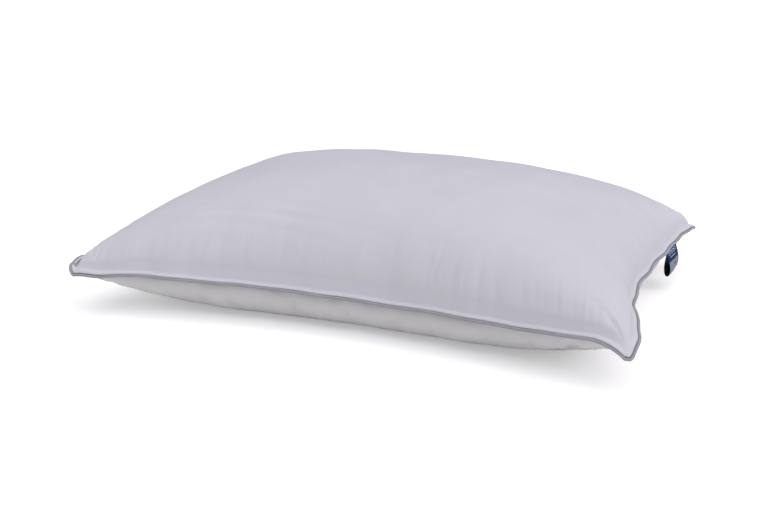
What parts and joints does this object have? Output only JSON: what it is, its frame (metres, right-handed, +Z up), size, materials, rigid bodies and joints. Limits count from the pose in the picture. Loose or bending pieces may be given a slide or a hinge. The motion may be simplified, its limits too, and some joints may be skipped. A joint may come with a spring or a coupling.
{
  "type": "bed pillow",
  "caption": "White bed pillow: crowned cotton shell with a stitched flange and grey corded piping all round, down filling inside, and a folded woven label that swings at one short side.",
  "frame": {"origin": "on the resting surface, under the middle of the pillow", "axes": "+X along the pillow's length, towards the short side that has the label; +Y across it, towards the corner nearest the label; +Z up"},
  "size_m": [0.682, 0.48, 0.1686],
  "materials": {
    "cotton_cambric": "smooth down-proof cotton, satin sheen",
    "cotton_bias_strip": "grey cotton cut on the bias, matt with a light sheen",
    "cotton_cord": "soft twisted cotton",
    "sewing_thread": "spun polyester thread",
    "down_and_feather": "loose down and small feathers",
    "woven_ribbon": "damask-woven ribbon, slight gloss"
  },
  "bodies": {
    "pillow": {"top_panel": "cotton_cambric", "bottom_panel": "cotton_cambric", "down_fill": "down_and_feather", "piping_cord": "cotton_cord", "piping_cover": "cotton_bias_strip", "assembly_seam": "sewing_thread", "topstitch_needle_thread": "sewing_thread", "topstitch_bobbin_thread": "sewing_thread", "closing_stitch": "sewing_thread", "label_tail": "woven_ribbon"},
    "label": {"woven_label": "woven_ribbon"}
  },
  "joints": [
    {"name": "label_swing", "type": "hinge", "parent": "pillow", "child": "label", "pos_m": [0.31813, 0.13211, 0.053], "axis": [-0.1421, -0.9899, 0], "range_deg": [-20, 90]}
  ]
}
